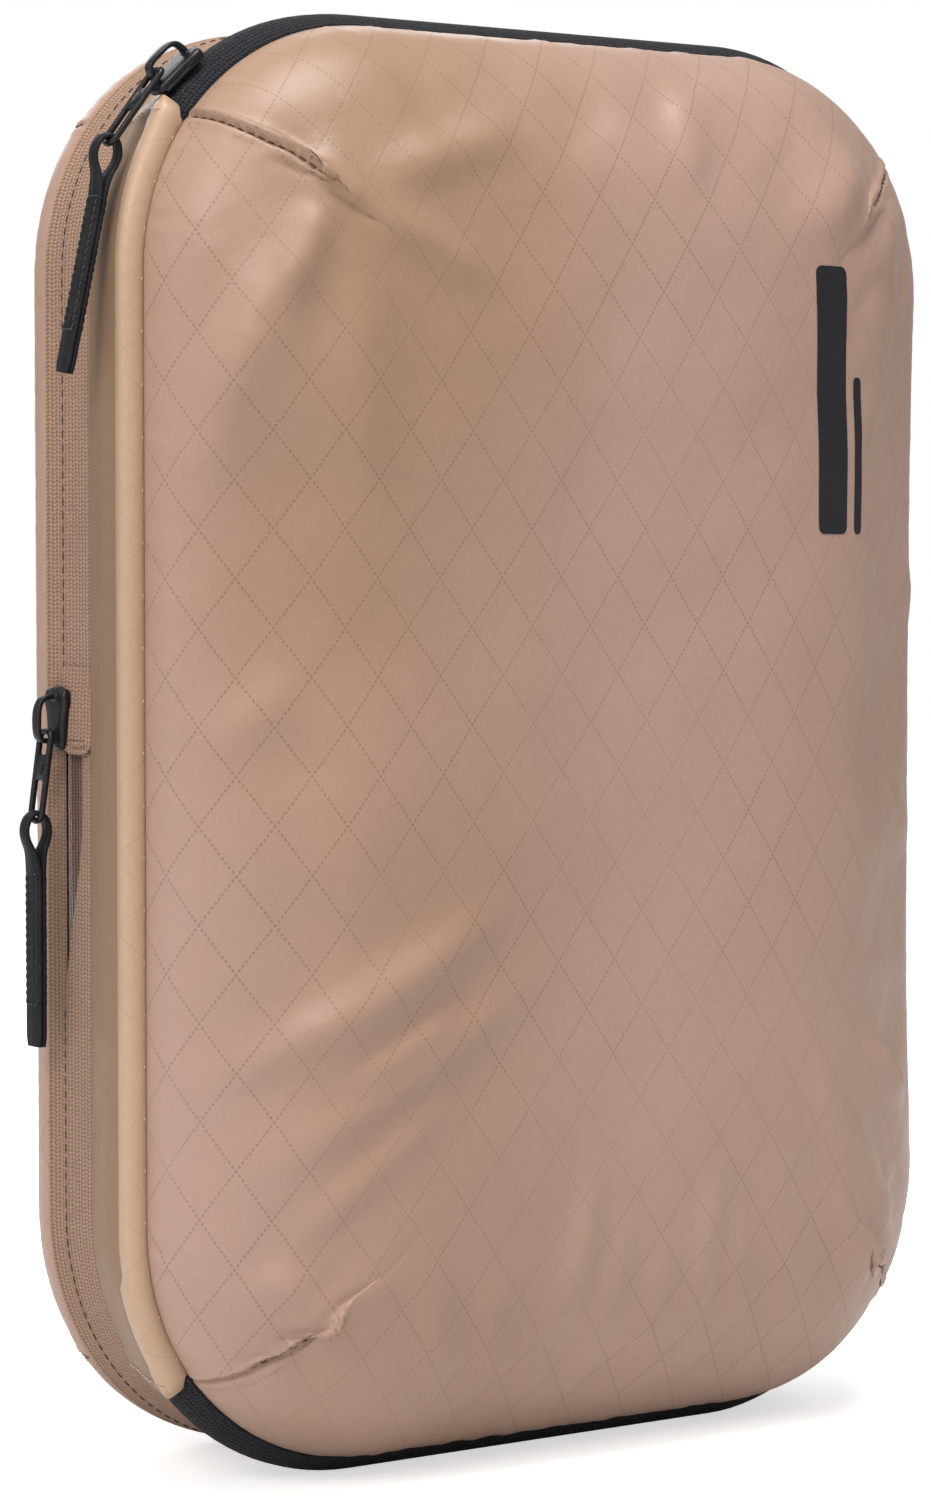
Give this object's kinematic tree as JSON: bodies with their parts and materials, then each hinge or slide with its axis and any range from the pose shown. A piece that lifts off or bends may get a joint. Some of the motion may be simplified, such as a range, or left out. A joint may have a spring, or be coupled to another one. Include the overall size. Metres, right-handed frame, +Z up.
{
  "type": "packing cube",
  "caption": "Soft rectangular packing cube with a zip-open front, a second zip round the side that compresses it, and strap pull tabs.",
  "frame": {"origin": "middle of the flat land that the side wall rests on, under the main zipper's bottom run", "axes": "+X across the front to the right, -Y out of the front panel, +Z up the height"},
  "size_m": [0.2574, 0.1099, 0.36],
  "materials": {
    "ripstop": "tan coated ripstop with a fine diamond grid and a soft sheen",
    "hinge_cloth": "the same ripstop, golden tan where it is folded tight",
    "gusset_cloth": "plain matte weave",
    "binding": "ribbed binding tape",
    "black_tape": "knitted zipper tape",
    "tan_tape": "knitted zipper tape",
    "black_coil": "nylon coil",
    "tan_coil": "nylon coil",
    "slider_black": "satin black enamel",
    "puller_black": "satin black enamel",
    "tab_black": "matte black folded strap"
  },
  "bodies": {
    "frame_ring": {"main_tape_rear": "black_tape", "main_coil_rear": "black_coil", "main_zip_stops": "slider_black", "hinge_strip": "hinge_cloth", "side_strip": "ripstop", "compression_tape_front": "tan_tape", "compression_coil_front": "tan_coil", "compression_tape_end": "tan_tape", "frame_binding": "binding", "expansion_gusset": "gusset_cloth"},
    "lid": {"front_panel": "ripstop", "front_binding": "binding", "hinge_edge": "hinge_cloth", "main_tape_front": "black_tape", "main_coil_front": "black_coil"},
    "back_shell": {"back_panel": "ripstop", "back_binding": "binding", "compression_tape_rear": "tan_tape", "compression_coil_rear": "tan_coil"},
    "main_slider": {"main_slider_body": "slider_black", "main_slider_crown": "slider_black"},
    "main_puller": {"main_puller": "puller_black"},
    "main_tab": {"main_pull_tab": "tab_black"},
    "compression_slider": {"compression_slider_body": "slider_black", "compression_slider_crown": "slider_black"},
    "compression_puller": {"compression_puller": "puller_black"},
    "compression_tab": {"compression_pull_tab": "tab_black"}
  },
  "joints": [
    {"name": "lid_open", "type": "hinge", "parent": "frame_ring", "child": "lid", "pos_m": [-0.1245, -0.0015, 0.18], "axis": [0, 0, -1], "range_deg": [0, 110]},
    {"name": "shell_expand", "type": "slide", "parent": "frame_ring", "child": "back_shell", "axis": [0, 1, 0], "range_m": [0, 0.05], "deforming": ["expansion_gusset"]},
    {"name": "main_slider_run", "type": "hinge", "parent": "frame_ring", "child": "main_slider", "pos_m": [-0.058, -0.0015, 0.294], "axis": [0, 1, 0], "range_deg": [0, 44]},
    {"name": "main_puller_lift", "type": "hinge", "parent": "main_slider", "child": "main_puller", "pos_m": [-0.11054, -0.0015, 0.34215], "axis": [0.0862, 0.9925, 0.0862], "range_deg": [0, 120]},
    {"name": "main_tab_swing", "type": "hinge", "parent": "main_puller", "child": "main_tab", "pos_m": [-0.12301, 0.00113, 0.32429], "axis": [0.0862, 0.9925, 0.0862], "range_deg": [0, 75]},
    {"name": "compression_slider_run", "type": "slide", "parent": "frame_ring", "child": "compression_slider", "axis": [0, 0, 1], "range_m": [0, 0.095]},
    {"name": "compression_puller_lift", "type": "hinge", "parent": "compression_slider", "child": "compression_puller", "pos_m": [-0.1237, 0.0305, 0.1839], "axis": [0, 1, 0], "range_deg": [0, 120]},
    {"name": "compression_tab_swing", "type": "hinge", "parent": "compression_puller", "child": "compression_tab", "pos_m": [-0.12676, 0.0305, 0.16216], "axis": [0, 1, 0], "range_deg": [0, 75]}
  ]
}
